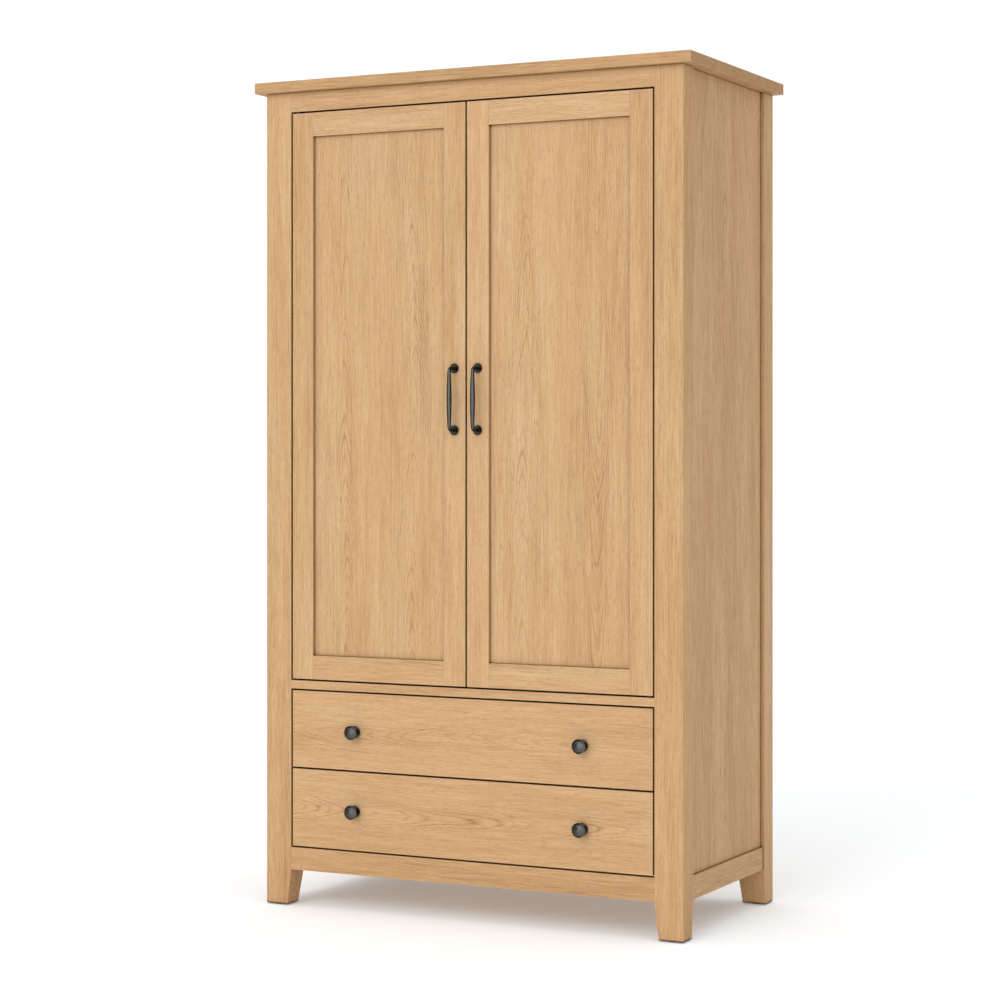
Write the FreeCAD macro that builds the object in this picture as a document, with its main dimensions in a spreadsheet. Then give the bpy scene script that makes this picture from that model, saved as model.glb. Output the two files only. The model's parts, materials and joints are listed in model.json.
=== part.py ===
"""Two-door oak armoire with two drawers, as a parametric assembly.

Millimetres. +Z is up, X runs along the width, and the doors and drawers face -Y. The origin is on
the floor, under the centre of the object's overall box. Every size is a cell of the Dimensions
sheet or a formula of such cells. Each piece is an object with its own label and placement, and is
written to parts/LABEL.step.
"""
import FreeCAD, Part
import os
import re
import Sketcher

LEFT, RIGHT = -1, 1
FRONT, BACK = -1, 1

DIMENSIONS = {
    # the whole
    "overall_height": 1900,
    "body_width": 1042,
    "body_depth": 543,
    "crown_thickness": 25,
    "crown_side_overhang": 24,
    "crown_front_overhang": 15,
    "crown_back_overhang": 7,
    "crown_rounding": 2,
    # posts and their feet
    "post_width": 66.5,
    "post_depth": 57,
    "foot_width": 56,
    "foot_depth": 48,
    "edge_rounding": 1.5,
    "glide_height": 3,
    "glide_radius": 14,
    # the stack of the front, from the floor up
    "rail_underside": 84,
    "bottom_rail_height": 51.5,
    "lower_front_height": 178,
    "upper_front_height": 176,
    "mid_rail_height": 19,
    "door_height": 1301,
    "gap_width": 4,
    # rails and their joints
    "rail_thickness": 22,
    "tenon_length": 25,
    "tenon_thickness": 10,
    "tenon_shoulder": 4,
    "back_rail_height": 60,
    # side and back panels
    "side_rail_recess": 3,
    "side_panel_recess": 9,
    "side_panel_thickness": 12,
    "panel_groove": 8,
    "back_panel_thickness": 6,
    "back_panel_recess": 6,
    "back_rebate": 12,
    # inside the hanging space
    "floor_thickness": 18,
    "cleat_width": 20,
    "cleat_height": 25,
    "hanging_rail_radius": 12.5,
    "hanging_rail_wall": 1.5,
    "hanging_rail_drop": 115,
    "socket_flange_radius": 20,
    "socket_flange": 3,
    "socket_wall": 3,
    "socket_depth": 15,
    "stop_width": 700,
    "stop_thickness": 20,
    "stop_height": 74,
    "magnet_radius": 7,
    "magnet_reach": 0.7,
    "magnet_length": 10,
    "magnet_lift": 10,
    # doors
    "door_thickness": 20,
    "stile_width": 54.5,
    "door_panel_recess": 7.5,
    "door_panel_thickness": 8,
    "door_rounding": 1,
    "panel_play": 1,
    "strike_thickness": 1,
    "strike_width": 24,
    "strike_height": 18,
    # offset pivots, set in from the door's outer edge and back from its face
    "pivot_inset": 11.5,
    "pivot_setback": 7,
    "pivot_radius": 2.5,
    "pivot_length": 12,
    "pivot_plate_radius": 6,
    "pivot_plate": 3.6,
    "bush_radius": 4.5,
    "running_clearance": 0.05,
    # bow handles
    "handle_centre_height": 1164,
    "handle_span": 138,
    "handle_projection": 31,
    "handle_middle_radius": 5.7,
    "handle_end_radius": 4,
    "handle_bend": 10,
    "rosette_radius": 10.5,
    "rosette_thickness": 2.5,
    "rosette_ring_radius": 7,
    "rosette_height": 5,
    # drawer knobs
    "knob_spread": 570,
    "knob_projection": 28,
    "knob_radius": 16,
    "knob_base_radius": 13,
    "knob_base": 4,
    "knob_neck_radius": 6.5,
    "knob_head": 12,
    # drawers
    "drawer_front_thickness": 20,
    "box_height": 150,
    "box_lift": 10,
    "box_depth": 470,
    "box_side": 15,
    "box_lap": 8,
    "box_bottom": 6,
    "bottom_lift": 8,
    "bottom_groove": 6,
    "back_drop": 10,
    "runner_groove": 8,
    "runner_groove_height": 13,
    # drawer runners
    "runner_clearance": 1,
    "runner_reach": 7,
    "runner_tongue": 12,
    "runner_web": 22,
    "runner_height": 40,
    "runner_flange": 12,
    "runner_end_play": 0.5,
    # screws
    "screw_radius": 1.95,
    "screw_hole_radius": 2.1,
    "screw_head_radius": 4,
    "screw_head": 2.4,
    "screw_bite": 9,
    "wood_screw_length": 30,
    "back_screw_length": 16,
}

# Formulas of the cells above, each used under its own name.
FORMULAS = {
    "opening_half": "body_width / 2 - post_width",
    "front_y": "-(body_depth + crown_back_overhang - handle_projection) / 2",
    "back_y": "front_y + body_depth",
    "side_run": "body_depth - 2 * post_depth",
    "bottom_rail_top": "rail_underside + bottom_rail_height",
    "lower_front_base": "bottom_rail_top + gap_width",
    "upper_front_base": "lower_front_base + lower_front_height + gap_width",
    "mid_rail_base": "upper_front_base + upper_front_height + gap_width",
    "mid_rail_top": "mid_rail_base + mid_rail_height",
    "door_base": "mid_rail_top + gap_width",
    "door_top": "door_base + door_height",
    "top_rail_base": "door_top + gap_width",
    "crown_base": "overall_height - crown_thickness",
    "floor_base": "mid_rail_top - floor_thickness",
    "panel_inner_x": "body_width / 2 - side_panel_recess - side_panel_thickness",
    "tenon_inset": "(rail_thickness - tenon_thickness) / 2",
    "back_panel_y": "body_depth - back_panel_recess - back_panel_thickness",
    "back_rail_y": "back_panel_y - rail_thickness",
    "door_half": "opening_half - gap_width",
    "door_width": "door_half - gap_width / 2",
    "door_rail_length": "door_width - 2 * stile_width",
    "door_panel_height": "door_height - 2 * stile_width",
    "meeting_stile_x": "(gap_width + stile_width) / 2",
    "pivot_x": "door_half - pivot_inset",
    "handle_standoff": "handle_projection - handle_middle_radius",
    "handle_straight": "handle_span / 2 - handle_bend",
    "drawer_half": "opening_half - gap_width",
    "box_inner_half": "drawer_half - box_side",
    "box_back_y": "drawer_front_thickness + box_depth",
    "runner_face": "drawer_half + runner_clearance",
    "runner_middle": "box_lift + box_height / 2",
    "hanging_rail_z": "crown_base - hanging_rail_drop",
    "hanging_rail_end": "panel_inner_x - socket_flange",
}

document = FreeCAD.newDocument("armoire")
sheet = document.addObject("Spreadsheet::Sheet", "Dimensions")
for row, (alias, size) in enumerate(DIMENSIONS.items(), start=1):
    sheet.set(f"A{row}", alias)
    sheet.set(f"B{row}", str(size))
    sheet.setAlias(f"B{row}", alias)
document.recompute()

pieces = []


# ---------------------------------------------------------------- building blocks

def bound(formula):
    """Turn a formula in plain names into an expression on the Dimensions sheet."""
    def swap(match):
        word = match.group(0)
        if word in FORMULAS:
            return "(" + bound(FORMULAS[word]) + ")"
        return "Dimensions." + word
    return re.sub(r"[a-z][a-z_]+", swap, formula)


def new_body(label, x="0", y="0", z="0"):
    """An empty body, placed by three formulas."""
    body = document.addObject("PartDesign::Body", label)
    for axis, formula in zip("xyz", (x, y, z)):
        body.setExpression(f"Placement.Base.{axis}", bound(formula))
    pieces.append(body)
    return body


def origin_part(body, role):
    """One plane or axis of the body's own origin."""
    return next(part for part in body.Origin.OriginFeatures if part.Role == role)


def new_sketch(body, plane, start="0"):
    """A sketch parallel to an origin plane; start is its place along X, Y or Z."""
    sketch = body.newObject("Sketcher::SketchObject", "Outline")
    sketch.AttachmentSupport = [(origin_part(body, plane), "")]
    sketch.MapMode = "FlatFace"
    # the XZ plane's normal points along -Y
    sign = -1 if plane == "XZ_Plane" else 1
    sketch.setExpression("AttachmentOffset.Base.z", bound(f"{sign} * ({start})"))
    return sketch


def bind_point(sketch, edge, end, point):
    """Hold one point of an edge at two formulas from the sketch's origin."""
    for kind, formula in zip(("DistanceX", "DistanceY"), point):
        index = sketch.addConstraint(Sketcher.Constraint(kind, -1, 1, edge, end, 1.0))
        name = f"{kind}_{edge}"
        sketch.renameConstraint(index, name)
        sketch.setExpression(f"Constraints.{name}", bound(formula))


def draw_outline(sketch, corners):
    """Closed outline of straight edges through corners, each a pair of formulas."""
    count = len(corners)
    guesses = [FreeCAD.Vector(index, index * index, 0) for index in range(count)]
    for index in range(count):
        sketch.addGeometry(Part.LineSegment(guesses[index], guesses[(index + 1) % count]), False)
    for index, corner in enumerate(corners):
        sketch.addConstraint(Sketcher.Constraint("Coincident", index, 2, (index + 1) % count, 1))
        bind_point(sketch, index, 1, corner)


def draw_circle(sketch, centre, radius):
    """A circle with its centre and radius held by formulas."""
    edge = sketch.addGeometry(Part.Circle(FreeCAD.Vector(1, 1, 0), FreeCAD.Vector(0, 0, 1), 1), False)
    bind_point(sketch, edge, 3, centre)
    index = sketch.addConstraint(Sketcher.Constraint("Radius", edge, 1.0))
    sketch.renameConstraint(index, f"Radius_{edge}")
    sketch.setExpression(f"Constraints.Radius_{edge}", bound(radius))


def rectangle(low, high):
    """The four corners between two opposite ones."""
    return [low, (high[0], low[1]), high, (low[0], high[1])]


def extrude(body, sketch, length, cut=False):
    """Pad or pocket a sketch towards +X, +Y or +Z."""
    feature = body.newObject("PartDesign::Pocket" if cut else "PartDesign::Pad", "Extrusion")
    feature.Profile = sketch
    feature.setExpression("Length", bound(length))
    normal_is_negative = sketch.AttachmentSupport[0][0].Role == "XZ_Plane"
    feature.Reversed = normal_is_negative != cut
    sketch.Visibility = False
    return feature


def box(body, low, high, cut=False):
    """Add or cut a box between two corners, each three formulas in the body's own frame."""
    sketch = new_sketch(body, "XY_Plane", low[2])
    draw_outline(sketch, rectangle(low[:2], high[:2]))
    return extrude(body, sketch, f"({high[2]}) - ({low[2]})", cut)


def prism(body, plane, corners, low, high, cut=False):
    """Add or cut an outline on a plane, from low to high across it."""
    sketch = new_sketch(body, plane, low)
    draw_outline(sketch, corners)
    return extrude(body, sketch, f"({high}) - ({low})", cut)


def rod(body, plane, centre, radius, low, high, cut=False):
    """Add or cut a round bar across a plane."""
    sketch = new_sketch(body, plane, low)
    draw_circle(sketch, centre, radius)
    return extrude(body, sketch, f"({high}) - ({low})", cut)


def turn(body, plane, corners, axis, cut=False):
    """Revolve an outline once round its sketch's H_Axis or V_Axis."""
    sketch = new_sketch(body, plane)
    draw_outline(sketch, corners)
    feature = body.newObject("PartDesign::Groove" if cut else "PartDesign::Revolution", "Turning")
    feature.Profile = sketch
    feature.ReferenceAxis = (sketch, [axis])
    feature.Angle = 360
    return feature


def mirror(body, features, plane):
    """Repeat features on the other side of one of the body's origin planes."""
    feature = body.newObject("PartDesign::Mirrored", "Mirror")
    feature.Originals = features
    feature.MirrorPlane = (origin_part(body, plane), [""])
    body.Tip = feature
    return feature


def repeat(body, feature, rows):
    """Repeat a feature in a grid; each row gives an axis, a total length and a count."""
    grid = body.newObject("PartDesign::MultiTransform", "Grid")
    grid.Originals = [feature]
    steps = []
    for axis, length, count in rows:
        step = body.newObject("PartDesign::LinearPattern", "Row")
        step.Direction = (origin_part(body, axis), [""])
        step.setExpression("Length", bound(length))
        step.Occurrences = count
        steps.append(step)
    grid.Transformations = steps
    body.Tip = grid
    return grid


def round_edges(body, radius, wanted):
    """Fillet the edges of the body's tip that wanted(edge, box of the whole) picks."""
    document.recompute()
    tip = body.Tip
    whole = tip.Shape.BoundBox
    names = [f"Edge{number}" for number, edge in enumerate(tip.Shape.Edges, start=1)
             if wanted(edge, whole)]
    fillet = body.newObject("PartDesign::Fillet", "Rounding")
    fillet.Base = (tip, names)
    fillet.setExpression("Radius", bound(radius))
    return fillet


def on_plane(edge, axis, value):
    """Whether a whole edge lies at one value of X, Y or Z."""
    tolerance = 0.01
    return all(abs(getattr(vertex.Point, axis) - value) < tolerance for vertex in edge.Vertexes)


# ---------------------------------------------------------------- carcass

def make_post(label, side, end):
    """A corner post; its foot tapers on the two inner faces, below the rails."""
    body = new_body(label, f"{side} * body_width / 2", "front_y" if end == FRONT else "back_y")

    def inward(across, along, up):
        """A point counted inwards from the post's outer corner."""
        return (f"{-side} * ({across})", f"{-end} * ({along})", up)

    box(body, inward("0", "0", "glide_height"), inward("post_width", "post_depth", "crown_base"))
    round_edges(body, "edge_rounding", lambda edge, whole: (
        edge.Length > whole.ZLength / 2
        and on_plane(edge, "x", whole.XMin if side == LEFT else whole.XMax)
        and on_plane(edge, "y", whole.YMin if end == FRONT else whole.YMax)))
    taper_post(body, side, end)
    if end == FRONT:
        rails = [("rail_underside", "bottom_rail_top"), ("mid_rail_base", "mid_rail_top"),
                 ("top_rail_base", "crown_base")]
        rail_y = "tenon_inset"
    else:
        rails = [("rail_underside", "bottom_rail_top"),
                 ("floor_base - back_rail_height", "floor_base"),
                 ("crown_base - back_rail_height", "crown_base")]
        rail_y = "body_depth - back_rail_y - rail_thickness + tenon_inset"
        box(body, inward("post_width - back_rebate", "0", "rail_underside"),
            inward("post_width", "back_panel_recess + back_panel_thickness", "crown_base"), cut=True)
    for base, top in rails:
        box(body, inward("post_width - tenon_length", rail_y, f"{base} + tenon_shoulder"),
            inward("post_width", f"{rail_y} + tenon_thickness", f"{top} - tenon_shoulder"), cut=True)
    box(body, inward("side_rail_recess + tenon_inset", "post_depth - tenon_length",
                     "rail_underside + tenon_shoulder"),
        inward("side_rail_recess + tenon_inset + tenon_thickness", "post_depth",
               "bottom_rail_top - panel_groove - tenon_shoulder"), cut=True)
    box(body, inward("side_panel_recess", "post_depth - panel_groove",
                     "bottom_rail_top - panel_groove"),
        inward("side_panel_recess + side_panel_thickness", "post_depth", "crown_base"), cut=True)


def taper_post(body, side, end):
    """Cut the two wedges that narrow a post's foot."""
    def wedge(sign, width, foot):
        return [(f"{sign} * {width}", "rail_underside"), (f"{sign} * {width}", "glide_height"),
                (f"{sign} * {foot}", "glide_height")]

    def span(sign, width):
        return ("0", width) if sign > 0 else (f"-{width}", "0")

    prism(body, "XZ_Plane", wedge(-side, "post_width", "foot_width"), *span(-end, "post_depth"),
          cut=True)
    prism(body, "YZ_Plane", wedge(-end, "post_depth", "foot_depth"), *span(-side, "post_width"),
          cut=True)


def make_cross_rail(label, y, base, top):
    """A rail across the body with a stub tenon at each end."""
    body = new_body(label, y=f"front_y + {y}", z=base)
    height = f"({top}) - ({base})"
    box(body, ("-opening_half", "0", "0"), ("opening_half", "rail_thickness", height))
    box(body, ("-opening_half - tenon_length", "tenon_inset", "tenon_shoulder"),
        ("opening_half + tenon_length", "tenon_inset + tenon_thickness",
         f"{height} - tenon_shoulder"))


def make_side_rail(label, side):
    """The rail under a side panel, tenoned to both posts and grooved on top for the panel."""
    body = new_body(label, f"{side} * (body_width / 2 - side_rail_recess)", "front_y + post_depth",
                    "rail_underside")

    def inward(across, along, up):
        return (f"{-side} * ({across})", along, up)

    box(body, inward("0", "0", "0"), inward("rail_thickness", "side_run", "bottom_rail_height"))
    box(body, inward("tenon_inset", "-tenon_length", "tenon_shoulder"),
        inward("tenon_inset + tenon_thickness", "side_run + tenon_length",
               "bottom_rail_height - panel_groove - tenon_shoulder"))
    box(body, inward("side_panel_recess - side_rail_recess", "0",
                     "bottom_rail_height - panel_groove"),
        inward("side_panel_recess - side_rail_recess + side_panel_thickness", "side_run",
               "bottom_rail_height"), cut=True)


def make_side_panel(label, side):
    """A side panel, held in the grooves of the posts and the side rail."""
    body = new_body(label, f"{side} * (body_width / 2 - side_panel_recess)",
                    "front_y + post_depth - panel_groove", "bottom_rail_top - panel_groove")
    box(body, ("0", "0", "0"), (f"{-side} * side_panel_thickness", "side_run + 2 * panel_groove",
                                "crown_base - bottom_rail_top + panel_groove"))


def make_crown():
    """The top board, which overhangs the body on every side."""
    body = new_body("crown_board", y="front_y", z="crown_base")
    box(body, ("-body_width / 2 - crown_side_overhang", "-crown_front_overhang", "0"),
        ("body_width / 2 + crown_side_overhang", "body_depth + crown_back_overhang",
         "crown_thickness"))
    round_edges(body, "crown_rounding", lambda edge, whole: True)


def make_back_panel():
    """The thin back, set in the rebates of the back posts and over the back rails."""
    body = new_body("back_panel", y="front_y + back_panel_y", z="rail_underside")
    half = "opening_half + back_rebate - panel_play"
    box(body, (f"-({half})", "0", "0"), (half, "back_panel_thickness", "crown_base - rail_underside"))


def make_wardrobe_floor():
    """The board above the drawers, notched round the four posts."""
    body = new_body("wardrobe_floor", y="front_y", z="floor_base")
    right = [("opening_half", "rail_thickness"), ("opening_half", "post_depth"),
             ("panel_inner_x", "post_depth"), ("panel_inner_x", "body_depth - post_depth"),
             ("opening_half", "body_depth - post_depth"), ("opening_half", "back_panel_y")]
    left = [(f"-{x}", y) for x, y in reversed(right)]
    prism(body, "XY_Plane", right + left, "0", "floor_thickness")


def make_side_cleats():
    """Four battens on the side panels: two carry the floor and two hold the crown."""
    body = new_body("side_cleats", y="front_y + post_depth", z="floor_base - cleat_height")
    cleat = box(body, ("panel_inner_x - cleat_width", "0", "0"),
                ("panel_inner_x", "side_run", "cleat_height"))
    grid = repeat(body, cleat, [("Z_Axis", "crown_base - floor_base", 2)])
    across = body.newObject("PartDesign::Mirrored", "Mirror")
    across.MirrorPlane = (origin_part(body, "YZ_Plane"), [""])
    grid.Transformations = grid.Transformations + [across]
    body.Tip = grid


def make_runners(label, front_base):
    """A pair of runners for one drawer: a tongue on a web, with a flange to the side panel."""
    body = new_body(label, y="front_y + post_depth", z=f"{front_base} + runner_middle")
    tip = "runner_face - runner_reach"
    web = "runner_face + runner_web"
    corners = [(tip, "-runner_tongue / 2"), ("runner_face", "-runner_tongue / 2"),
               ("runner_face", "-runner_height / 2"), ("panel_inner_x", "-runner_height / 2"),
               ("panel_inner_x", "runner_flange - runner_height / 2"),
               (web, "runner_flange - runner_height / 2"), (web, "runner_height / 2"),
               ("runner_face", "runner_height / 2"), ("runner_face", "runner_tongue / 2"),
               (tip, "runner_tongue / 2")]
    runner = prism(body, "XZ_Plane", corners, "0", "side_run")
    mirror(body, [runner], "YZ_Plane")


def make_hanging_rail():
    """The tube that clothes hang from, and the two sockets that hold its ends."""
    place = {"y": "front_y + body_depth / 2", "z": "hanging_rail_z"}
    tube = new_body("hanging_rail", **place)
    bore = "hanging_rail_radius - hanging_rail_wall"
    turn(tube, "XZ_Plane", rectangle(("-hanging_rail_end", bore),
                                     ("hanging_rail_end", "hanging_rail_radius")), "H_Axis")
    sockets = new_body("rail_sockets", **place)
    rim = "hanging_rail_radius + socket_wall"
    mouth = "panel_inner_x - socket_depth"
    socket = turn(sockets, "XZ_Plane", [
        ("hanging_rail_end", "0"), ("panel_inner_x", "0"),
        ("panel_inner_x", "socket_flange_radius"), ("hanging_rail_end", "socket_flange_radius"),
        ("hanging_rail_end", rim), (mouth, rim), (mouth, "hanging_rail_radius"),
        ("hanging_rail_end", "hanging_rail_radius")], "H_Axis")
    mirror(sockets, [socket], "YZ_Plane")


def make_door_stop():
    """The batten that the doors close against, with a magnet for each door."""
    stop = new_body("door_stop", y="front_y + rail_thickness", z="crown_base - stop_height")
    box(stop, ("-stop_width / 2", "0", "0"), ("stop_width / 2", "stop_thickness", "stop_height"))
    magnets = new_body("door_magnets", y="front_y + rail_thickness",
                       z="crown_base - stop_height + magnet_lift")
    socket = rod(stop, "XZ_Plane", ("meeting_stile_x", "magnet_lift"), "magnet_radius",
                 "0", "magnet_length", cut=True)
    mirror(stop, [socket], "YZ_Plane")
    magnet = rod(magnets, "XZ_Plane", ("meeting_stile_x", "0"), "magnet_radius",
                 "-magnet_reach", "magnet_length")
    mirror(magnets, [magnet], "YZ_Plane")


def make_pivot_pins():
    """Four pins on round plates, above and below the doors' outer corners."""
    body = new_body("pivot_pins", y="front_y + pivot_setback", z="mid_rail_top")
    opening = "top_rail_base - mid_rail_top"
    reach = "gap_width + pivot_length"
    lower = [rod(body, "XY_Plane", ("pivot_x", "0"), "pivot_plate_radius", "0", "pivot_plate"),
             rod(body, "XY_Plane", ("pivot_x", "0"), "pivot_radius", "0", reach)]
    upper = [rod(body, "XY_Plane", ("pivot_x", "0"), "pivot_plate_radius",
                 f"{opening} - pivot_plate", opening),
             rod(body, "XY_Plane", ("pivot_x", "0"), "pivot_radius",
                 f"{opening} - ({reach})", opening)]
    mirror(body, lower + upper, "YZ_Plane")


def make_foot_glides():
    """A round plastic glide under each foot."""
    body = new_body("foot_glides", "-(body_width - foot_width) / 2", "front_y + foot_depth / 2")
    glide = rod(body, "XY_Plane", ("0", "0"), "glide_radius", "0", "glide_height")
    repeat(body, glide, [("X_Axis", "body_width - foot_width", 2),
                         ("Y_Axis", "body_depth - foot_depth", 2)])


def make_crown_screws():
    """Screws that rise through the crown cleats into the crown."""
    body = new_body("crown_screws", "-(panel_inner_x - cleat_width / 2)",
                    "front_y + post_depth + side_run / 6", "crown_base - cleat_height")
    bite = "wood_screw_length"
    screw = turn(body, "XZ_Plane", [
        ("0", "-screw_head"), ("screw_head_radius", "-screw_head"), ("screw_head_radius", "0"),
        ("screw_radius", "0"), ("screw_radius", bite), ("0", bite)], "V_Axis")
    repeat(body, screw, [("X_Axis", "2 * panel_inner_x - cleat_width", 2),
                         ("Y_Axis", "side_run * 2 / 3", 3)])


def make_back_screws():
    """Screws that hold the back panel's two upright edges to the back posts."""
    body = new_body("back_panel_screws", "-(opening_half + back_rebate / 2)",
                    "front_y + back_panel_y + back_panel_thickness",
                    "rail_underside + back_rail_height / 2")
    screw = turn(body, "XY_Plane", [
        ("0", "screw_head"), ("screw_head_radius", "screw_head"), ("screw_head_radius", "0"),
        ("screw_radius", "0"), ("screw_radius", "-back_screw_length"),
        ("0", "-back_screw_length")], "V_Axis")
    repeat(body, screw, [("X_Axis", "2 * opening_half + back_rebate", 2),
                         ("Z_Axis", "crown_base - rail_underside - back_rail_height", 8)])


# ---------------------------------------------------------------- doors

def make_door(name, side):
    """A framed door with a flat panel, hung on pivots at its outer edge."""
    outer = f"{side} * door_half"
    meeting = f"{side} * gap_width / 2"
    make_stile(f"{name}_hinge_stile", outer, -side, "pivots")
    make_stile(f"{name}_meeting_stile", meeting, side, "handle")
    rail_x = f"{side} * (gap_width / 2 + stile_width)"
    make_door_rail(f"{name}_bottom_rail", rail_x, side, "door_base", groove_low=False)
    make_door_rail(f"{name}_top_rail", rail_x, side, "door_top - stile_width", groove_low=True)
    make_door_panel(f"{name}_panel", side)
    make_pivot_bushes(f"{name}_pivot_bushes", side)
    handle_x = f"{side} * meeting_stile_x"
    make_handle(f"{name}_handle", handle_x)
    make_handle_screws(f"{name}_handle_screws", handle_x)
    strike = new_body(f"{name}_strike_plate", handle_x, "front_y + door_thickness",
                      "crown_base - stop_height + magnet_lift")
    box(strike, ("-strike_width / 2", "0", "-strike_height / 2"),
        ("strike_width / 2", "strike_thickness", "strike_height / 2"))


def make_stile(label, x, inward, fitting):
    """An upright of a door frame, grooved along its inner edge for the panel."""
    body = new_body(label, x, "front_y", "door_base")
    box(body, ("0", "0", "0"), (f"{inward} * stile_width", "door_thickness", "door_height"))
    round_edges(body, "door_rounding", lambda edge, whole: (
        on_plane(edge, "y", whole.YMin)
        and not on_plane(edge, "x", whole.XMax if inward > 0 else whole.XMin)))
    box(body, (f"{inward} * (stile_width - panel_groove)", "door_panel_recess", "0"),
        (f"{inward} * stile_width", "door_panel_recess + door_panel_thickness", "door_height"),
        cut=True)
    if fitting == "pivots":
        centre = (f"{inward} * pivot_inset", "pivot_setback")
        rod(body, "XY_Plane", centre, "bush_radius", "0", "pivot_length", cut=True)
        rod(body, "XY_Plane", centre, "bush_radius", "door_height - pivot_length", "door_height",
            cut=True)
    else:
        for end in (LEFT, RIGHT):
            height = f"handle_centre_height - door_base + {end} * handle_span / 2"
            rod(body, "XZ_Plane", (f"{inward} * stile_width / 2", height), "screw_hole_radius",
                "0", "door_thickness", cut=True)


def make_door_rail(label, x, side, base, groove_low):
    """A cross rail of a door frame; its stub tenons fill the stiles' grooves."""
    body = new_body(label, x, "front_y", base)
    back = "door_panel_recess + door_panel_thickness"
    box(body, ("0", "0", "0"), (f"{side} * door_rail_length", "door_thickness", "stile_width"))
    outer_z = "ZMax" if groove_low else "ZMin"
    round_edges(body, "door_rounding", lambda edge, whole: (
        on_plane(edge, "y", whole.YMin) and on_plane(edge, "z", getattr(whole, outer_z))))
    box(body, (f"{side} * -panel_groove", "door_panel_recess", "0"),
        (f"{side} * (door_rail_length + panel_groove)", back, "stile_width"))
    low, high = ("0", "panel_groove") if groove_low else ("stile_width - panel_groove", "stile_width")
    box(body, (f"{side} * -panel_groove", "door_panel_recess", low),
        (f"{side} * (door_rail_length + panel_groove)", back, high), cut=True)


def make_door_panel(label, side):
    """The flat panel, a little smaller than its grooves so that the wood can move."""
    body = new_body(label, f"{side} * (gap_width / 2 + stile_width)", "front_y + door_panel_recess",
                    "door_base + stile_width")
    tongue = "panel_groove - panel_play"
    box(body, (f"{side} * -({tongue})", "0", f"-({tongue})"),
        (f"{side} * (door_rail_length + {tongue})", "door_panel_thickness",
         f"door_panel_height + {tongue}"))


def make_pivot_bushes(label, side):
    """The brass bushes in the ends of the hinge stile."""
    body = new_body(label, f"{side} * pivot_x", "front_y + pivot_setback", "door_base")
    bore = "pivot_radius + running_clearance"
    bush = turn(body, "XZ_Plane", rectangle((bore, "0"), ("bush_radius", "pivot_length")), "V_Axis")
    repeat(body, bush, [("Z_Axis", "door_height - pivot_length", 2)])


def make_handle(label, x):
    """A bow handle: a spindle between two elbows, each on a stepped rosette."""
    body = new_body(label, x, "front_y", "handle_centre_height")
    spindle = new_sketch(body, "XZ_Plane", "-handle_standoff")
    swell = "(handle_end_radius + 3 * handle_middle_radius) / 4"
    draw_outline(spindle, [
        ("0", "-handle_straight"), ("handle_end_radius", "-handle_straight"),
        (swell, "-handle_straight / 2"), ("handle_middle_radius", "-handle_straight / 8"),
        ("handle_middle_radius", "handle_straight / 8"), (swell, "handle_straight / 2"),
        ("handle_end_radius", "handle_straight"), ("0", "handle_straight")])
    bar = body.newObject("PartDesign::Revolution", "Spindle")
    bar.Profile = spindle
    bar.ReferenceAxis = (spindle, ["V_Axis"])
    bar.Angle = 360
    elbow = make_elbow(body)
    top = ("0", "handle_span / 2")
    leg = rod(body, "XZ_Plane", top, "handle_end_radius", "handle_bend - handle_standoff", "0")
    rosette = rod(body, "XZ_Plane", top, "rosette_radius", "-rosette_thickness", "0")
    ring = rod(body, "XZ_Plane", top, "rosette_ring_radius", "-rosette_height", "0")
    mirror(body, [elbow, leg, rosette, ring], "XY_Plane")
    for end in (LEFT, RIGHT):
        rod(body, "XZ_Plane", ("0", f"{end} * handle_span / 2"), "screw_hole_radius",
            "-screw_bite", "0", cut=True)


def make_elbow(body):
    """The quarter bend between a handle's leg and its spindle."""
    sketch = new_sketch(body, "XY_Plane", "handle_straight")
    sketch.setExpression("AttachmentOffset.Base.y", bound("handle_bend - handle_standoff"))
    draw_circle(sketch, ("0", "-handle_bend"), "handle_end_radius")
    bend = body.newObject("PartDesign::Revolution", "Elbow")
    bend.Profile = sketch
    bend.ReferenceAxis = (sketch, ["H_Axis"])
    bend.Angle = 90
    bend.Reversed = True
    return bend


def make_handle_screws(label, x):
    """The two screws that come through the stile from inside."""
    body = new_body(label, x, "front_y + door_thickness", "handle_centre_height - handle_span / 2")
    screw = turn(body, "XY_Plane", screw_outline("door_thickness + screw_bite"), "V_Axis")
    repeat(body, screw, [("Z_Axis", "handle_span", 2)])


def screw_outline(length):
    """Half the section of a pan head screw that points along -Y, with its head at +Y."""
    return [("0", "screw_head"), ("screw_head_radius", "screw_head"), ("screw_head_radius", "0"),
            ("screw_radius", "0"), ("screw_radius", f"-({length})"), ("0", f"-({length})")]


# ---------------------------------------------------------------- drawers

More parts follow.
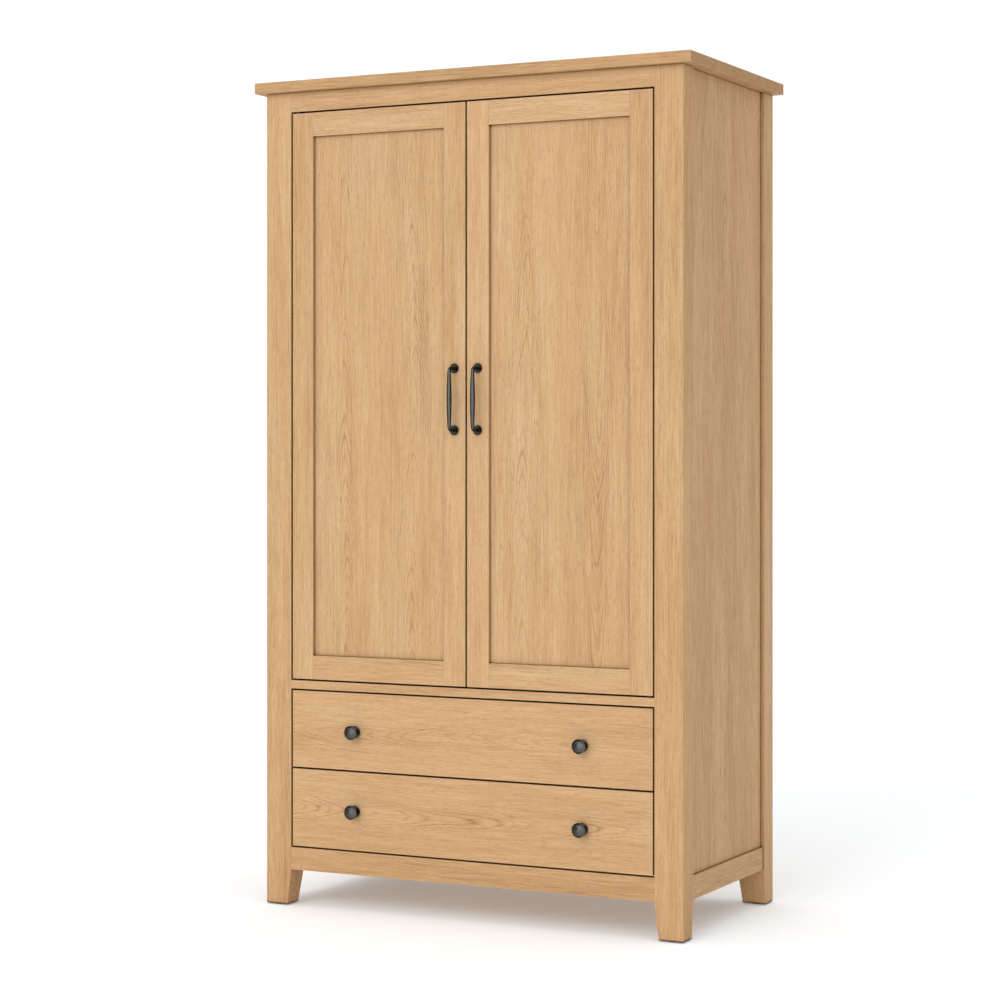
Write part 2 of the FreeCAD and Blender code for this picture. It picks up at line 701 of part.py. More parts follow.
def make_drawer(name, base, front_height):
    """An inset drawer: a slab front, a grooved box, and two knobs."""
    box_base = f"{base} + box_lift"
    make_drawer_front(f"{name}_front", base, front_height)
    for side, word in ((LEFT, "left"), (RIGHT, "right")):
        make_drawer_side(f"{name}_side_{word}", side, box_base)
    back = new_body(f"{name}_back", y="front_y + box_back_y - box_side",
                    z=f"{box_base} + bottom_lift + box_bottom")
    box(back, ("-box_inner_half", "0", "0"),
        ("box_inner_half", "box_side", "box_height - bottom_lift - box_bottom - back_drop"))
    bottom = new_body(f"{name}_bottom", y="front_y + drawer_front_thickness - bottom_groove",
                      z=f"{box_base} + bottom_lift")
    half = "box_inner_half + bottom_groove"
    box(bottom, (f"-({half})", "0", "0"), (half, "box_depth + bottom_groove", "box_bottom"))
    knob_z = f"{base} + ({front_height}) / 2"
    make_knobs(f"{name}_knobs", knob_z)
    screws = new_body(f"{name}_knob_screws", "-knob_spread / 2", "front_y + drawer_front_thickness",
                      knob_z)
    screw = turn(screws, "XY_Plane", screw_outline("drawer_front_thickness + screw_bite"), "V_Axis")
    repeat(screws, screw, [("X_Axis", "knob_spread", 2)])


def make_drawer_front(label, base, height):
    """The slab front, lapped for the sides, grooved for the bottom and drilled for the knobs."""
    body = new_body(label, y="front_y", z=base)
    back = "drawer_front_thickness"
    box(body, ("-drawer_half", "0", "0"), ("drawer_half", back, height))
    round_edges(body, "door_rounding", lambda edge, whole: on_plane(edge, "y", whole.YMin))
    for side in (LEFT, RIGHT):
        box(body, (f"{side} * box_inner_half", f"{back} - box_lap", "box_lift"),
            (f"{side} * drawer_half", back, "box_lift + box_height"), cut=True)
        rod(body, "XZ_Plane", (f"{side} * knob_spread / 2", f"({height}) / 2"), "screw_hole_radius",
            "0", back, cut=True)
    half = "box_inner_half + bottom_groove"
    box(body, (f"-({half})", f"{back} - bottom_groove", "box_lift + bottom_lift"),
        (half, back, "box_lift + bottom_lift + box_bottom"), cut=True)


def make_drawer_side(label, side, box_base):
    """A drawer side with the runner's groove outside and the bottom's groove inside."""
    body = new_body(label, f"{side} * drawer_half", "front_y + drawer_front_thickness", box_base)
    box(body, ("0", "-box_lap", "0"), (f"{-side} * box_side", "box_depth", "box_height"))
    box(body, ("0", "post_depth - drawer_front_thickness - runner_end_play",
               "(box_height - runner_groove_height) / 2"),
        (f"{-side} * runner_groove", "box_depth", "(box_height + runner_groove_height) / 2"),
        cut=True)
    box(body, (f"{-side} * (box_side - bottom_groove)", "-box_lap", "bottom_lift"),
        (f"{-side} * box_side", "box_depth", "bottom_lift + box_bottom"), cut=True)


def make_knobs(label, z):
    """Two turned mushroom knobs."""
    body = new_body(label, "-knob_spread / 2", "front_y", z)
    under_head = "-(knob_projection - knob_head)"
    rim = "-(knob_projection - knob_head * 3 / 4)"
    crown = "-(knob_projection - knob_head / 4)"
    knob = turn(body, "XY_Plane", [
        ("0", "0"), ("knob_base_radius", "0"), ("knob_base_radius", "-knob_base / 2"),
        ("knob_neck_radius", "-knob_base"), ("knob_neck_radius", under_head),
        ("knob_radius", rim), ("knob_radius", "-(knob_projection - knob_head / 2)"),
        ("knob_radius * 3 / 4", crown), ("0", "-knob_projection")], "V_Axis")
    repeat(body, knob, [("X_Axis", "knob_spread", 2)])
    for place in ("0", "knob_spread"):
        rod(body, "XZ_Plane", (place, "0"), "screw_hole_radius", "-screw_bite", "0", cut=True)


# ---------------------------------------------------------------- the assembly

def build_all():
    """Make every piece."""
    for side, side_word in ((LEFT, "left"), (RIGHT, "right")):
        for end, end_word in ((FRONT, "front"), (BACK, "back")):
            make_post(f"post_{end_word}_{side_word}", side, end)
        make_side_panel(f"side_panel_{side_word}", side)
        make_side_rail(f"side_bottom_rail_{side_word}", side)
    make_cross_rail("front_top_rail", "0", "top_rail_base", "crown_base")
    make_cross_rail("front_mid_rail", "0", "mid_rail_base", "mid_rail_top")
    make_cross_rail("front_bottom_rail", "0", "rail_underside", "bottom_rail_top")
    make_cross_rail("back_top_rail", "back_rail_y", "crown_base - back_rail_height", "crown_base")
    make_cross_rail("back_mid_rail", "back_rail_y", "floor_base - back_rail_height", "floor_base")
    make_cross_rail("back_bottom_rail", "back_rail_y", "rail_underside", "bottom_rail_top")
    make_crown()
    make_back_panel()
    make_wardrobe_floor()
    make_side_cleats()
    make_runners("upper_drawer_runners", "upper_front_base")
    make_runners("lower_drawer_runners", "lower_front_base")
    make_hanging_rail()
    make_door_stop()
    make_pivot_pins()
    make_foot_glides()
    make_crown_screws()
    make_back_screws()
    make_door("left_door", LEFT)
    make_door("right_door", RIGHT)
    make_drawer("upper_drawer", "upper_front_base", "upper_front_height")
    make_drawer("lower_drawer", "lower_front_base", "lower_front_height")


def check_document():
    """Stop if any object failed, any cut removed nothing or any shape is unsound."""
    for item in document.Objects:
        if "Invalid" in item.State or "Error" in item.State:
            raise RuntimeError(f"{item.Label} failed: {item.State}")
        if item.TypeId == "PartDesign::Pocket":
            removed = item.BaseFeature.Shape.Volume - item.Shape.Volume
            if removed <= 0:
                raise RuntimeError(f"{item.Label} cut nothing from {item.BaseFeature.Label}")
    for piece in pieces:
        if piece.Shape.isNull() or not piece.Shape.isValid():
            raise RuntimeError(f"{piece.Label} has an unsound shape")


def write_pieces():
    """Write each piece to its own STEP file."""
    os.makedirs("parts", exist_ok=True)
    for piece in pieces:
        piece.Shape.exportStep(os.path.join("parts", f"{piece.Label}.step"))


build_all()
document.recompute()
check_document()
write_pieces()
print(len(pieces), "pieces")
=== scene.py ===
"""Oak armoire: looks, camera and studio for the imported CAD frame. Metres throughout."""
from dataclasses import dataclass
import json
import math

import bmesh
import bpy
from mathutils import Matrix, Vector


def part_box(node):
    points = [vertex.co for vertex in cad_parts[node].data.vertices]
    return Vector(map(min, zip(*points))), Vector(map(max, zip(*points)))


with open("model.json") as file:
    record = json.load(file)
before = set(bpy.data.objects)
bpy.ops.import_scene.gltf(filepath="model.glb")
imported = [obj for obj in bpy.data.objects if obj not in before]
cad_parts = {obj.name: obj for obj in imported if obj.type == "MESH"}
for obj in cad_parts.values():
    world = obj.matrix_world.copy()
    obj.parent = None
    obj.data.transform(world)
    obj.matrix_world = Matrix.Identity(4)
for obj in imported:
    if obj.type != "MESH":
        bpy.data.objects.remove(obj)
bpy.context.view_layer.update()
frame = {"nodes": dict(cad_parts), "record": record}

NODES = frame["nodes"]
SLOT_OF = {part["node"]: part["material_slot"] for part in frame["record"]["subparts"]}
MM = 0.001
FRONT_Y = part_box("front_mid_rail")[0].y
FOOT_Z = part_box("post_front_left")[0].z
WHITE = (1.0, 1.0, 1.0, 1.0)


# ---------------------------------------------------------------- small tools

def srgb(red, green, blue):
    """A colour given as 0 to 255 screen values, as linear RGBA."""
    def linear(value):
        value /= 255
        return value / 12.92 if value <= 0.04045 else ((value + 0.055) / 1.055) ** 2.4
    return (linear(red), linear(green), linear(blue), 1.0)


class Tree:
    """Adds and links shader nodes: an input is a constant or another node's socket."""

    def __init__(self, tree):
        self.tree = tree

    def put(self, socket, value):
        """Set an input to a constant, or link it to another node's socket."""
        if isinstance(value, bpy.types.NodeSocket):
            self.tree.links.new(value, socket)
        else:
            socket.default_value = value

    def add(self, kind, inputs=None, **settings):
        node = self.tree.nodes.new(kind)
        for name, value in settings.items():
            setattr(node, name, value)
        for name, value in (inputs or {}).items():
            self.put(node.inputs[name], value)
        return node

    def math(self, operation, first, second=0.0, third=0.0, clamp=False):
        values = {0: first, 1: second, 2: third}
        return self.add("ShaderNodeMath", values, operation=operation, use_clamp=clamp).outputs[0]

    def plus(self, first, second, clamp=False):
        return self.math("ADD", first, second, clamp=clamp)

    def times(self, first, second, clamp=False):
        return self.math("MULTIPLY", first, second, clamp=clamp)

    def linear(self, value, factor, start, clamp=False):
        """The value times a factor, plus a start."""
        return self.math("MULTIPLY_ADD", value, factor, start, clamp=clamp)

    def vector_math(self, operation, first, second):
        return self.add("ShaderNodeVectorMath", {0: first, 1: second}, operation=operation)

    def scaled(self, vector, factors):
        return self.vector_math("MULTIPLY", vector, factors).outputs[0]

    def dot(self, first, second):
        return self.vector_math("DOT_PRODUCT", first, second).outputs["Value"]

    def split(self, vector):
        return self.add("ShaderNodeSeparateXYZ", {0: vector}).outputs

    def join(self, x, y, z):
        return self.add("ShaderNodeCombineXYZ", {0: x, 1: y, 2: z}).outputs[0]

    def turned(self, vector, rotation):
        return self.add("ShaderNodeMapping", {"Vector": vector, "Rotation": rotation},
                        vector_type="POINT").outputs[0]

    def chance(self, value):
        """A random number, 0 to 1, that is the same wherever the value is."""
        return self.add("ShaderNodeTexWhiteNoise", {"W": value},
                        noise_dimensions="1D").outputs["Value"]

    def noise(self, vector, factors, detail=2.0, roughness=0.5):
        """Noise of a vector stretched by factors, in features per metre; about 0.5 on average."""
        inputs = {"Vector": self.scaled(vector, factors), "Scale": 1.0, "Detail": detail,
                  "Roughness": roughness}
        return self.add("ShaderNodeTexNoise", inputs).outputs["Fac"]

    def span(self, value, low, high, new_low=0.0, new_high=1.0):
        """The value's range low to high, mapped to another and clamped."""
        inputs = {"Value": value, "From Min": low, "From Max": high, "To Min": new_low,
                  "To Max": new_high}
        return self.add("ShaderNodeMapRange", inputs).outputs["Result"]

    def ramp(self, value, stops):
        node = self.add("ShaderNodeValToRGB", {"Fac": value})
        elements = node.color_ramp.elements
        while len(elements) < len(stops):
            elements.new(0.5)
        for element, (position, colour) in zip(elements, stops):
            element.position = position
            element.color = colour
        return node.outputs["Color"]

    def mix(self, factor, first, second):
        """The first colour at factor 0, the second at 1."""
        node = self.add("ShaderNodeMix", {"Factor": factor, 6: first, 7: second},
                        data_type="RGBA")
        return node.outputs[2]

    def openness(self, distance):
        """Ambient occlusion: 1 in the open, less where something else is within the distance."""
        return self.add("ShaderNodeAmbientOcclusion", {"Distance": distance},
                        samples=4).outputs["AO"]

    def likeness_to_rounded(self, radius):
        """How far the normal agrees with one rounded over a radius: 1 away from edges."""
        rounded = self.add("ShaderNodeBevel", {"Radius": radius}, samples=4).outputs[0]
        plain = self.add("ShaderNodeNewGeometry").outputs["Normal"]
        return self.dot(rounded, plain)

    def bump(self, height, strength, distance):
        inputs = {"Height": height, "Strength": strength, "Distance": distance}
        return self.add("ShaderNodeBump", inputs).outputs[0]


def new_material(name):
    """A node material; returns it with its tree and its Principled shader."""
    material = bpy.data.materials.new(name)
    material.use_nodes = True
    return material, Tree(material.node_tree), material.node_tree.nodes["Principled BSDF"]


def set_inputs(tree, shader, values):
    for name, value in values.items():
        tree.put(shader.inputs[name], value)


def dress(obj, material):
    """Give an object one material in every slot."""
    if not obj.material_slots:
        obj.data.materials.append(material)
    for place in obj.material_slots:
        place.material = material


# ---------------------------------------------------------------- oak grain

RING_WIDTH = 6.7 * MM       # one year's growth
# fibres and streaks: features per metre across, through and along the board, roughness, and
# weight in the tone
LAYERS = {
    "hair": ((620, 620, 17), 0.5, 0.85),
    "fine": ((330, 330, 9), 0.6, 0.56),
    "medium": ((110, 110, 3.6), 0.5, 0.30),
    "broad": ((22, 22, 1.6), 0.5, 0.58),
}


def place_in_tree(tree, vector, strip, seed):
    """Where a point of a board lies in its tree.

    Each glued strip is a board of its own, cut at a random height. Returns the place, the distance
    from the strip's middle, and the strip's random number.
    """
    across, through, along = tree.split(vector)
    strips = tree.math("DIVIDE", across, strip)
    chance = tree.chance(tree.linear(tree.math("FLOOR", strips), 7.31, seed))
    place = tree.join(across, through, tree.linear(chance, 40.0, along))
    local = tree.times(tree.math("SUBTRACT", tree.math("FRACT", strips), 0.5), strip)
    return place, local, chance


def heart_distances(tree, line, local, through, offset, figure):
    """Distances from the tree's heart, straight and sideways; the heart drifts along the board."""
    depth = tree.noise(line, (1, 1, 1.5), detail=1.0, roughness=0.4)
    depth = tree.plus(tree.linear(depth, 0.020, -0.004), through)
    depth = tree.plus(depth, tree.linear(figure, -0.06, 0.06))
    elsewhere = tree.vector_math("ADD", line, (3.7, 1.9, 5.3)).outputs[0]
    drift = tree.noise(elsewhere, (1, 1, 1.6), detail=1.0)
    sideways = tree.plus(local, tree.linear(drift, 0.05, -0.025))
    sideways = tree.math("ABSOLUTE", tree.plus(sideways, offset))
    # the rings crowd towards the board's edges, where they are cut more squarely
    crowded = tree.times(sideways, tree.linear(sideways, 14.0, 0.55))
    straight = tree.math("SQRT", tree.plus(tree.times(crowded, crowded), tree.times(depth, depth)))
    return straight, sideways


def trunk_taper(tree, line, height_in_tree, chance, figure):
    """The trunk tapers, so a flat cut shows arches that all point one way along a strip."""
    way = tree.linear(tree.math("GREATER_THAN", chance, 0.5), 2.0, -1.0)
    wave = tree.noise(line, (1, 1, 3.2), detail=1.0)
    taper = tree.plus(tree.times(tree.times(height_in_tree, way), 0.13), tree.times(wave, 0.040))
    return tree.times(taper, tree.linear(figure, 0.65, 0.35))


def ring_phase(tree, place, straight, taper):
    """The number of years from the heart, with a wavering outline to each ring."""
    sway = tree.noise(place, (22, 22, 5.0))
    jitter = tree.noise(place, (150, 150, 17))
    radius = tree.plus(straight, taper)
    radius = tree.plus(radius, tree.times(sway, 0.009))
    radius = tree.plus(radius, tree.times(jitter, 0.0026))
    return tree.math("DIVIDE", radius, RING_WIDTH)


def early_wood(tree, place, phase, sideways):
    """How much early wood shows: it is the porous start of each ring."""
    ring = tree.math("FRACT", phase)
    early = tree.math("POWER", tree.math("SUBTRACT", 1.0, tree.span(ring, 0.0, 0.42)), 1.2)
    early = tree.plus(early, tree.span(ring, 0.85, 1.0, 0.0, 0.7))
    # it is clearest in patches near a board's middle, and in some years
    patch = tree.span(tree.noise(place, (14, 14, 4), detail=1.0), 0.34, 0.60, 0.40, 1.0)
    middle = tree.span(sideways, 0.025, 0.070, 1.0, 0.30)
    year = tree.math("POWER", tree.chance(tree.math("FLOOR", phase)), 2.0)
    early = tree.times(tree.times(early, patch), middle)
    return tree.times(early, tree.linear(year, 1.3, 0.25))


def fibre_layers(tree, place):
    """Noise for each of the layers, by name."""
    return {name: tree.noise(place, factors, roughness=roughness)
            for name, (factors, roughness, _) in LAYERS.items()}


def wood_tone(tree, layers, early, chance):
    """Tone of the wood, dark 0 to pale 1: early wood, fibres, streaks and each strip's own."""
    tone = tree.linear(early, -0.40, 0.64)
    for name, (_, _, weight) in LAYERS.items():
        tone = tree.plus(tone, tree.linear(layers[name], weight, -weight / 2))
    return tree.plus(tone, tree.linear(chance, 0.08, -0.04))


def open_pores(tree, place, early):
    """Short dashes along the grain, most of them in the early wood."""
    dashes = tree.noise(place, (820, 820, 62), detail=1.0)
    return tree.times(tree.span(dashes, 0.55, 0.68), tree.linear(early, 0.8, 0.6), clamp=True)


def make_oak_group():
    """Node group: board coordinates in, tone, pores and height out.

    X runs across the board, Y through it and Z along the grain. The growth rings are tapering tubes
    round a heart just under the face: faces show nested arches, edges lines and ends arcs.
    """
    group = bpy.data.node_groups.new("oak_grain", "ShaderNodeTree")
    face = group.interface
    face.new_socket("Vector", in_out="INPUT", socket_type="NodeSocketVector")
    for name in ("Strip", "Offset", "Figure", "Seed"):
        face.new_socket(name, in_out="INPUT", socket_type="NodeSocketFloat")
    for name in ("Tone", "Pores", "Height"):
        face.new_socket(name, in_out="OUTPUT", socket_type="NodeSocketFloat")
    tree = Tree(group)
    source = tree.add("NodeGroupInput").outputs
    place, local, chance = place_in_tree(tree, source["Vector"], source["Strip"], source["Seed"])
    _, through, height_in_tree = tree.split(place)
    # the heart's place changes along this line only
    line = tree.join(source["Seed"], 0.0, height_in_tree)
    straight, sideways = heart_distances(tree, line, local, through, source["Offset"],
                                         source["Figure"])
    taper = trunk_taper(tree, line, height_in_tree, chance, source["Figure"])
    phase = ring_phase(tree, place, straight, taper)
    early = early_wood(tree, place, phase, sideways)
    layers = fibre_layers(tree, place)
    tone = wood_tone(tree, layers, early, chance)
    pores = open_pores(tree, place, early)
    relief = tree.math("SUBTRACT", tree.times(layers["fine"], 0.6), pores)
    tree.add("NodeGroupOutput", {"Tone": tone, "Pores": pores, "Height": relief})
    return group


OAK_GROUP = make_oak_group()


# ---------------------------------------------------------------- oak boards

# how to turn the part's axes into a board's: across, through and along, for grain along each axis
GRAIN_ROTATION = {
    "z": (0.0, 0.0, 0.0),
    "x": (0.0, math.radians(-90), 0.0),
    "y": (math.radians(90), 0.0, math.radians(90)),
}

OAK_LIGHT = srgb(211, 176, 135)
OAK_MID = srgb(191, 154, 112)
OAK_DARK = srgb(158, 118, 77)
OAK_PORE = srgb(122, 84, 50)
OAK_END = srgb(148, 110, 72)
OAK_BLUSH = srgb(196, 148, 104)
# colour of the painted shade in crevices and of the painted contact shadow at the feet
OAK_PAINTED_SHADE = srgb(40, 16, 2)

WOODEN_SLOTS = ("oak", "oak_ply", "drawer_wood")
MEAN_TONE = 0.6
GLUE_LINE = 0.7 * MM        # half its width
FLAMED_WIDTH = 0.12         # boards wider than this are cut flat, narrower ones squarely
STRIP_WIDTH = 0.18          # about how wide a glued strip is
FOOT_SHADE_HEIGHTS = (1.5 * MM, 3.5 * MM)        # above the feet's undersides: where the painted contact shadow is full, and where it ends

# boards a little darker or paler than the rest; the top rail's darkening is painted shade under the
# crown
SHADES = {
    "crown_board": -0.20,
    "front_top_rail": -0.12,
    "front_bottom_rail": -0.12,
    "right_door_hinge_stile": -0.08,
    "post_front_left": -0.04,
    "left_door_meeting_stile": 0.05,
    "side_panel_right": -0.02,
    "side_panel_left": -0.02,
    "upper_drawer_back": 0.10,
    "lower_drawer_back": 0.10,
}


@dataclass
class Board:
    """How one board was cut, glued and finished."""
    grain: str              # the part's axis that the fibres follow
    centre: tuple           # of its coordinates, in the part's
    strip: float            # width of each glued strip
    offset: float           # of the tree's heart from a strip's middle
    figure: float           # 1 cut flat, with arches, to 0 cut squarely, with lines
    coarseness: float       # how far the figure is spread across the board
    contrast: float
    seed: float
    shade: float            # added to the tone
    seams: tuple            # X of the glue lines


def seams_of(node):
    """X of the flush joints along an upright: both edges of a stile, the inner edge of a post."""
    low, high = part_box(node)
    if node.endswith("_stile"):
        return (low.x, high.x)
    if node.startswith("post_front"):
        return (high.x,) if high.x < 0 else (low.x,)
    return ()


def grain_axis(node, size):
    """The axis along a board's grain: its longest side, but upright in the back panel."""
    if node == "back_panel":
        return "z"
    return max("xyz", key=lambda axis: size["xyz".index(axis)])


def across_axis(grain, size):
    """The axis across a board's face: the wider of the two that aren't along the grain."""
    others = [other for other in "xyz" if other != grain]
    return max(others, key=lambda other: size["xyz".index(other)])


def describe_board(node, order):
    """The cut of a CAD node's board; order makes each one's grain its own."""
    low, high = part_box(node)
    size = high - low
    grain = grain_axis(node, size)
    face = "xyz".index(across_axis(grain, size))
    width = size[face]
    count = 3 if node.startswith("side_panel") else max(1, round(width / STRIP_WIDTH))
    strip = width / count
    centre = (low + high) / 2
    if count % 2 == 0:
        centre[face] -= strip / 2
    at_side = node.startswith("side_")
    flamed = width > FLAMED_WIDTH and node != "crown_board"
    return Board(
        grain=grain,
        centre=tuple(centre),
        strip=strip,
        offset=0.0 if flamed else 0.075,
        figure=1.0 if flamed else 0.3,
        coarseness=1.3 if at_side else 1.0,
        contrast=1.15 if at_side or not flamed else 1.0,
        seed=1.0 + 3.7 * order,
        shade=SHADES.get(node, 0.0),
        seams=seams_of(node),
    )


def board_coordinates(tree, place, board):
    """Coordinates across, through and along the board, from the part's."""
    moved = tree.vector_math("SUBTRACT", place, board.centre).outputs[0]
    turned = tree.turned(moved, GRAIN_ROTATION[board.grain])
    start = (board.strip / 2, 0.0, board.seed * 1.9)
    shifted = tree.vector_math("ADD", turned, start).outputs[0]
    return tree.scaled(shifted, (1 / board.coarseness, 1 / board.coarseness, 1.0))


def plain_oak(tree, vector, tone, pores, rise, board):
    """The wood's own colour from its tone and pores, darker towards the floor."""
    tone = tree.linear(tree.math("SUBTRACT", tone, MEAN_TONE), board.contrast,
                       MEAN_TONE + board.shade)
    tone = tree.plus(tone, tree.span(rise, 0.20, 0.0, 0.0, -0.14))
    colour = tree.ramp(tone, [(0.0, OAK_DARK), (0.52, OAK_MID), (1.0, OAK_LIGHT)])
    blush = tree.noise(vector, (6, 6, 1.1))
    colour = tree.mix(tree.span(blush, 0.35, 0.75, 0.0, 0.3), colour, OAK_BLUSH)
    return tree.mix(tree.times(pores, 0.38), colour, OAK_PORE)


def add_end_grain(tree, colour, normal, board):
    """Ends, which the fibres run into, are darker."""
    lengthwise = tree.math("ABSOLUTE", tree.split(tree.turned(normal, GRAIN_ROTATION[board.grain]))[2])
    return tree.mix(tree.span(lengthwise, 0.6, 0.95, 0.0, 0.35), colour, OAK_END)


def add_glue_lines(tree, colour, normal, sideways, board):
    """Dark lines at the flush joints, on the front and back faces only."""
    flat = tree.span(tree.math("ABSOLUTE", tree.split(normal)[1]), 0.80, 0.95, 0.0, 0.55)
    for seam in board.seams:
        line = tree.math("COMPARE", sideways, seam, GLUE_LINE)
        colour = tree.mix(tree.times(line, flat), colour, OAK_PORE)
    return colour


def add_painted_light_and_shade(tree, colour, arris_highlight, crevice_shade, rise):
    """Painted highlight on the arrises, painted shade in crevices and under overhangs, and painted
    contact shadow at the feet's undersides.
    """
    # painted highlight along the rounded edges (arrises)
    colour = tree.mix(tree.times(arris_highlight, 0.35), colour, OAK_LIGHT)
    # painted shade where another part is within 18 mm, as under the crown
    sheltered_shade = tree.span(tree.openness(18 * MM), 0.85, 0.50, 0.0, 0.40)
    colour = tree.mix(sheltered_shade, colour, OAK_DARK)
    # painted shade in narrow crevices, gaps and recesses
    colour = tree.mix(crevice_shade, colour, OAK_PAINTED_SHADE)
    # painted contact shadow on the bottom few millimetres of the feet
    full, none = FOOT_SHADE_HEIGHTS
    return tree.mix(tree.span(rise, FOOT_Z + none, FOOT_Z + full, 0.0, 0.85), colour, OAK_PAINTED_SHADE)


def make_oak(name, board):
    """Satin oak for one board."""
    material, tree, shader = new_material(name)
    source = tree.add("ShaderNodeTexCoord").outputs
    sideways, _, rise = tree.split(source["Object"])
    vector = board_coordinates(tree, source["Object"], board)
    grain = tree.add("ShaderNodeGroup", node_tree=OAK_GROUP)
    set_inputs(tree, grain, {"Vector": vector, "Strip": board.strip / board.coarseness,
                             "Offset": board.offset, "Figure": board.figure, "Seed": board.seed})
    tone, pores, height = (grain.outputs[key] for key in ("Tone", "Pores", "Height"))
    # mask of the painted highlight along rounded edges
    arris_highlight = tree.span(tree.likeness_to_rounded(1.6 * MM), 0.995, 0.88)
    # mask of the painted shade in crevices
    crevice_shade = tree.span(tree.openness(5 * MM), 0.82, 0.42, 0.0, 0.96)

    colour = plain_oak(tree, vector, tone, pores, rise, board)
    colour = add_end_grain(tree, colour, source["Normal"], board)
    colour = add_glue_lines(tree, colour, source["Normal"], sideways, board)
    colour = add_painted_light_and_shade(tree, colour, arris_highlight, crevice_shade, rise)
    roughness = tree.linear(height, -0.10, 0.55)
    roughness = tree.linear(arris_highlight, -0.08, roughness)
    roughness = tree.linear(crevice_shade, 0.4, roughness, clamp=True)
    set_inputs(tree, shader, {
        "Base Color": colour,
        "Roughness": roughness,
        "Normal": tree.bump(height, 0.35, 0.25 * MM),
        "Specular IOR Level": 0.10,
    })
    return material


def make_boards():
    """Dress every wooden CAD node as a board of its own."""
    wooden = [node for node in sorted(NODES) if SLOT_OF[node] in WOODEN_SLOTS]
    for order, node in enumerate(wooden):
        dress(NODES[node], make_oak(f"oak_{node}", describe_board(node, order)))


make_boards()


# ---------------------------------------------------------------- metals and plastic

HIGHLIGHT_SIDE = (0.42, -0.91, 0.0)      # the way that the surfaces with the painted highlight face


def painted_highlight(tree, place, normal, cloud):
    """Mask of a painted highlight on a fitting: 1 on what faces the highlight side and stands well out
    of the front.
    """
    depth = tree.split(place)[1]
    reach = tree.span(depth, FRONT_Y - 2 * MM, FRONT_Y - 15 * MM, 0.25, 1.0)
    facing = tree.span(tree.dot(normal, HIGHLIGHT_SIDE), 0.74, 0.99)
    return tree.times(tree.plus(facing, tree.linear(cloud, 0.6, -0.3), clamp=True), reach)


def make_metal(name, colour, worn, metallic, roughness, grit=900.0, bump=0.08, highlight_colour=None):
    """Metal or plastic with a fine uneven finish and smoother edges, worn to another colour.

    The highlight colour, if given, is a painted highlight on what faces the front and stands out of
    it.
    """
    material, tree, shader = new_material(name)
    source = tree.add("ShaderNodeTexCoord").outputs
    place = source["Object"]
    grain = tree.noise(place, (grit, grit, grit), detail=3.0)
    cloud = tree.noise(place, (70, 70, 70), detail=3.0)
    paler = tuple(min(1.0, part * 1.4) for part in colour[:3]) + (1.0,)
    shade = tree.mix(tree.span(cloud, 0.3, 0.7, 0.0, 0.35), colour, paler)
    if highlight_colour:
        # painted highlight on the front of handles and knobs
        shade = tree.mix(painted_highlight(tree, place, source["Normal"], cloud), shade, highlight_colour)
    edge = tree.span(tree.likeness_to_rounded(0.8 * MM), 0.99, 0.85, 0.0, 0.5)
    rough = tree.linear(cloud, 0.12, roughness - 0.06)
    set_inputs(tree, shader, {
        "Base Color": tree.mix(edge, shade, worn),
        "Metallic": metallic,
        "Roughness": tree.linear(edge, -0.10, rough),
        "Normal": tree.bump(grain, bump, 0.1 * MM),
    })
    return material


def dress_fittings():
    """Dress every CAD node that isn't wooden."""
    materials = {
        "dark_metal": make_metal("dark_metal", srgb(38, 35, 31), srgb(52, 46, 38), 0.95, 0.28,
                                 highlight_colour=srgb(98, 98, 96)),
        "steel": make_metal("zinc_steel", srgb(176, 178, 180), srgb(205, 206, 208), 1.0, 0.34),
        "rail_chrome": make_metal("chrome", srgb(214, 216, 219), srgb(230, 231, 233), 1.0, 0.12,
                                  bump=0.02),
        "brass": make_metal("brass", srgb(196, 158, 84), srgb(220, 186, 118), 1.0, 0.30),
        "magnet": make_metal("magnet", srgb(120, 122, 126), srgb(170, 171, 174), 1.0, 0.38),
        "glide_plastic": make_metal("glide_plastic", srgb(38, 34, 30), srgb(60, 56, 50), 0.0, 0.55,
                                    grit=500.0),
    }
    for node, obj in NODES.items():
        if SLOT_OF[node] in materials:
            dress(obj, materials[SLOT_OF[node]])
    blackened = make_metal("blackened_steel", srgb(44, 40, 36), srgb(70, 66, 60), 0.6, 0.5)
    dress(NODES["pivot_pins"], blackened)


dress_fittings()


# ---------------------------------------------------------------- studio

KEY_DIRECTION = Vector((-0.10, -0.84, 0.53)).normalized()
FRONT_DIRECTION = Vector((0.10, -1.0, 0.0)).normalized()
FLOOR_RADIUS = 60.0


def make_floor(diffuse, glow):
    """A plain white floor, far larger than the view, that glows a little of itself."""
    mesh = bpy.data.meshes.new("floor")
    shape = bmesh.new()
    bmesh.ops.create_circle(shape, cap_ends=True, radius=FLOOR_RADIUS, segments=64)
    shape.to_mesh(mesh)
    shape.free()
    floor = bpy.data.objects.new("floor", mesh)
    bpy.context.scene.collection.objects.link(floor)
    material, tree, shader = new_material("floor_white")
    cloud = tree.noise(tree.add("ShaderNodeTexCoord").outputs["Object"], (3, 3, 3))
    set_inputs(tree, shader, {
        "Base Color": tree.mix(tree.times(cloud, 0.02), diffuse, WHITE),
        "Roughness": 0.9,
        "Specular IOR Level": 0.0,
        "Emission Color": WHITE,
        "Emission Strength": glow,
    })
    dress(floor, material)


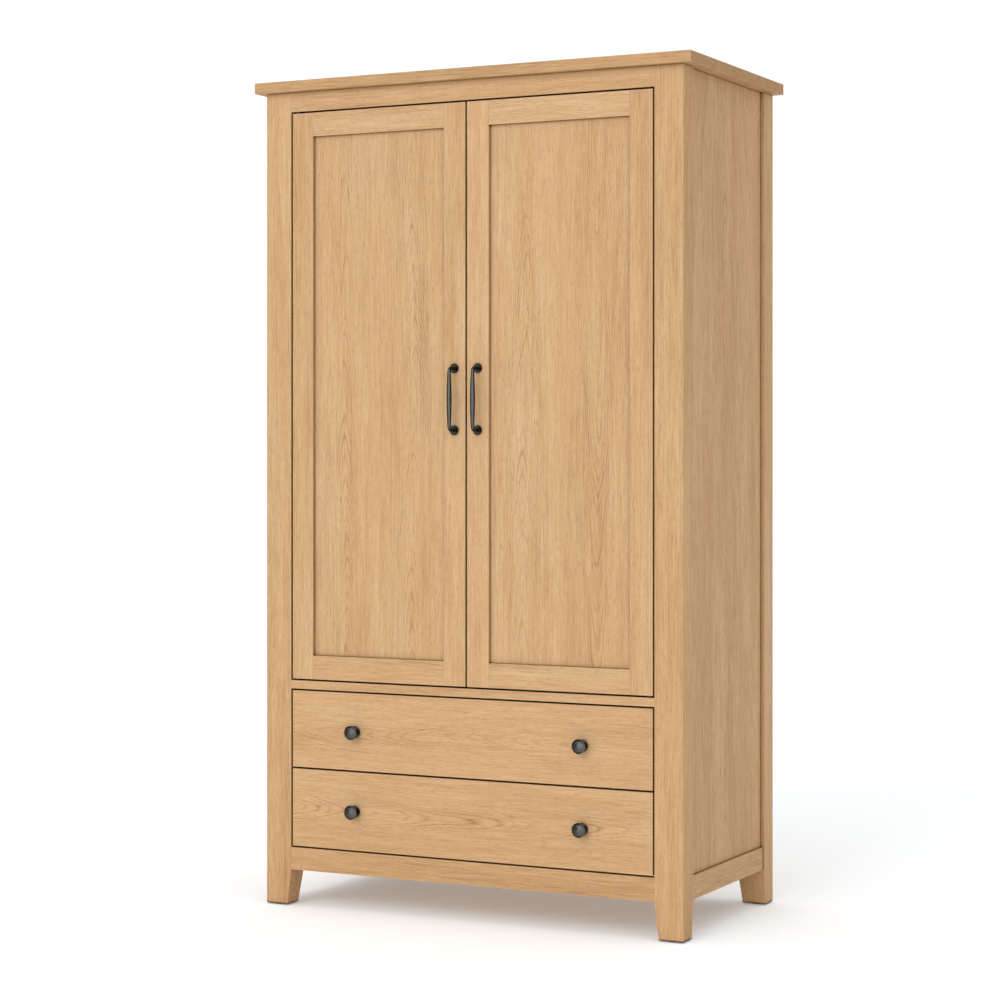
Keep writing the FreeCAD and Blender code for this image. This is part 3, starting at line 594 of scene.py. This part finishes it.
def make_world(ambient, front, above, backdrop):
    """Soft light from all round, with a broad lobe from the front and more from above.

    The backdrop is what the camera sees.
    """
    world = bpy.data.worlds.new("studio")
    bpy.context.scene.world = world
    world.use_nodes = True
    world.node_tree.nodes.clear()
    tree = Tree(world.node_tree)
    direction = tree.add("ShaderNodeTexCoord").outputs["Generated"]
    facing = tree.dot(direction, FRONT_DIRECTION)
    lobe = tree.math("POWER", tree.math("MAXIMUM", facing, 0.0), 4.0)
    rise = tree.split(direction)[2]
    strength = tree.linear(lobe, front, ambient)
    strength = tree.linear(tree.times(rise, rise), above, strength)
    light = tree.add("ShaderNodeBackground", {"Color": WHITE, "Strength": strength})
    seen = tree.add("ShaderNodeBackground", {"Color": WHITE, "Strength": backdrop})
    path = tree.add("ShaderNodeLightPath")
    both = tree.add("ShaderNodeMixShader", {0: path.outputs["Is Camera Ray"],
                                            1: light.outputs[0], 2: seen.outputs[0]})
    tree.add("ShaderNodeOutputWorld", {"Surface": both.outputs[0]})


def make_key(strength, softness):
    """A broad key light from high in front, a little to the left; softness in degrees."""
    light = bpy.data.lights.new("key", "SUN")
    light.energy = strength
    light.angle = math.radians(softness)
    key = bpy.data.objects.new("key", light)
    key.rotation_euler = KEY_DIRECTION.to_track_quat("Z", "Y").to_euler()
    bpy.context.scene.collection.objects.link(key)


def make_camera():
    """The view: level, from the front right, a little above half height."""
    data = bpy.data.cameras.new("camera")
    data.sensor_width = 36.0
    data.lens = 88.663
    data.shift_y = -0.0533
    camera = bpy.data.objects.new("camera", data)
    camera.location = (2.5322, FRONT_Y - 4.8543, 1.0585)
    camera.rotation_euler = (math.radians(90), 0.0, math.radians(26.759))
    bpy.context.scene.collection.objects.link(camera)
    bpy.context.scene.camera = camera


bpy.context.scene.view_settings.view_transform = "Standard"
make_floor(diffuse=(0.93, 0.96, 0.98, 1.0), glow=0.18)
make_world(ambient=0.50, front=1.38, above=0.62, backdrop=1.05)
make_key(strength=0.55, softness=22)
make_camera()
